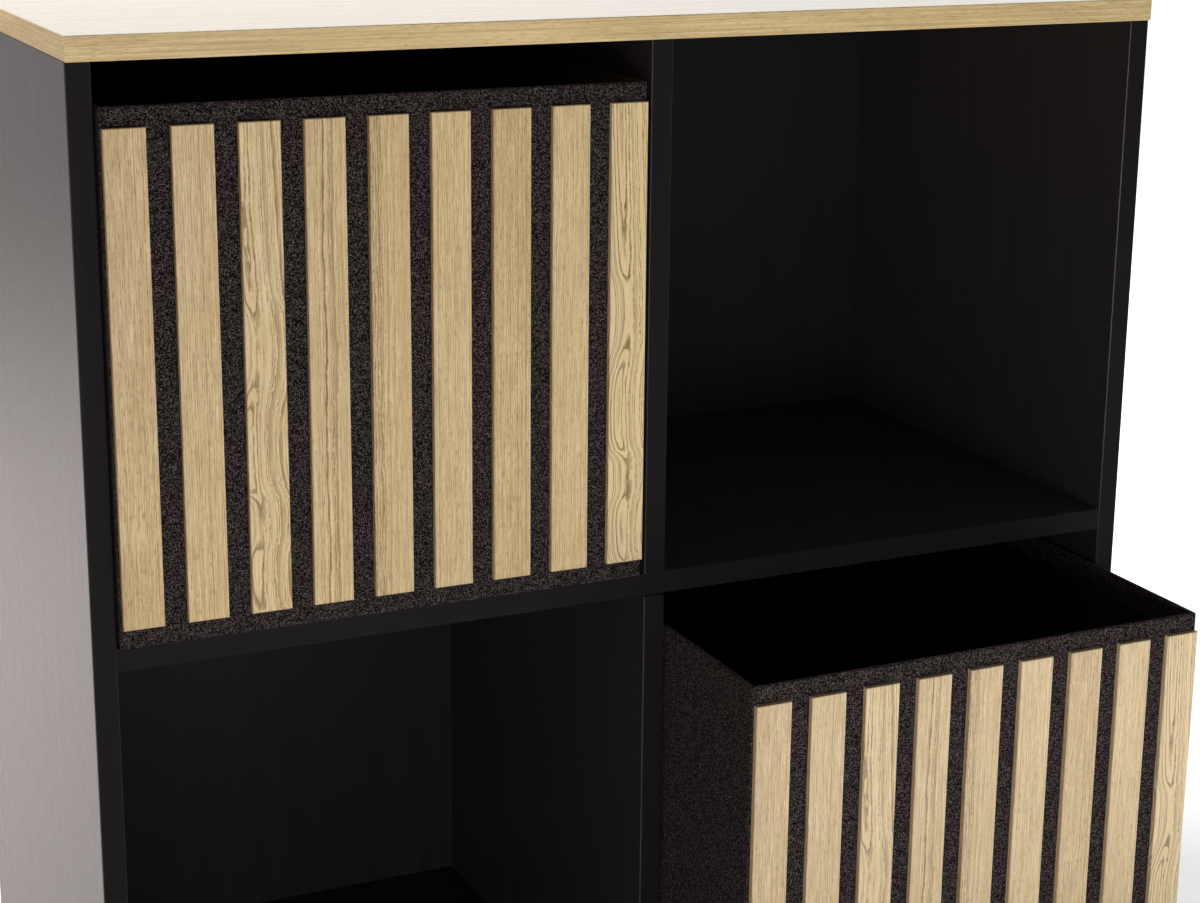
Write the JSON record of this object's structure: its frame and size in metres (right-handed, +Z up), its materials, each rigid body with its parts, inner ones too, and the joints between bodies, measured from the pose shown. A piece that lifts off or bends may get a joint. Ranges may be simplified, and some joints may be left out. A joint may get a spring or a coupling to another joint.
{
  "type": "cube storage unit",
  "caption": "Open cube storage unit with a pale oak top on a black carcass, and fabric bins with slatted oak fronts that slide in and out of its cubes.",
  "frame": {"origin": "middle of the bottom panel's underside, 3 mm above the floor that the felt pads stand on", "axes": "+Z up, +X to the viewer's right when facing the open front, +Y from the open front to the back panel"},
  "size_m": [0.753, 0.4903, 0.754],
  "materials": {
    "black_panel": "black wood-grain foil on particle board, satin",
    "oak_panel": "pale oak-grain foil on particle board, satin",
    "black_back": "black wood-grain paper on hardboard",
    "beech": "bare beech",
    "zinc": "die-cast and plated, dull",
    "screw_steel": "zinc plated",
    "felt": "pressed felt",
    "bin_cloth": "charcoal woven polyester, flecked",
    "lining_cloth": "dark non-woven lining",
    "stiff_board": "grey-brown fibre board",
    "oak_slat": "pale oak veneer, satin, grain upright"
  },
  "bodies": {
    "carcass": {"top_panel": "oak_panel", "bottom_panel": "black_panel", "left_side": "black_panel", "right_side": "black_panel", "middle_shelf": "black_panel", "upper_divider": "black_panel", "lower_divider": "black_panel", "back_panel": "black_back", "top_dowels": "beech", "shelf_dowels": "beech", "bottom_dowels": "beech", "lower_divider_dowels": "beech", "shelf_cams": "zinc", "bottom_cams": "zinc", "shelf_cam_bolts": "zinc", "bottom_cam_bolts": "zinc", "upper_divider_screws": "screw_steel", "floor_pads": "felt"},
    "upper_bin": {"upper_bin_cover": "bin_cloth", "upper_bin_lining": "lining_cloth", "upper_bin_front_board": "stiff_board", "upper_bin_back_board": "stiff_board", "upper_bin_left_board": "stiff_board", "upper_bin_right_board": "stiff_board", "upper_bin_base_board": "stiff_board", "upper_bin_slat_1": "oak_slat", "upper_bin_slat_2": "oak_slat", "upper_bin_slat_3": "oak_slat", "upper_bin_slat_4": "oak_slat", "upper_bin_slat_5": "oak_slat", "upper_bin_slat_6": "oak_slat", "upper_bin_slat_7": "oak_slat", "upper_bin_slat_8": "oak_slat", "upper_bin_slat_9": "oak_slat"},
    "lower_bin": {"lower_bin_cover": "bin_cloth", "lower_bin_lining": "lining_cloth", "lower_bin_front_board": "stiff_board", "lower_bin_back_board": "stiff_board", "lower_bin_left_board": "stiff_board", "lower_bin_right_board": "stiff_board", "lower_bin_base_board": "stiff_board", "lower_bin_slat_1": "oak_slat", "lower_bin_slat_2": "oak_slat", "lower_bin_slat_3": "oak_slat", "lower_bin_slat_4": "oak_slat", "lower_bin_slat_5": "oak_slat", "lower_bin_slat_6": "oak_slat", "lower_bin_slat_7": "oak_slat", "lower_bin_slat_8": "oak_slat", "lower_bin_slat_9": "oak_slat"}
  },
  "joints": [
    {"name": "upper_bin_slide", "type": "slide", "parent": "carcass", "child": "upper_bin", "axis": [0, -1, 0], "range_m": [0, 0.3]},
    {"name": "lower_bin_slide", "type": "slide", "parent": "carcass", "child": "lower_bin", "axis": [0, -1, 0], "range_m": [-0.1157, 0.1843]}
  ]
}
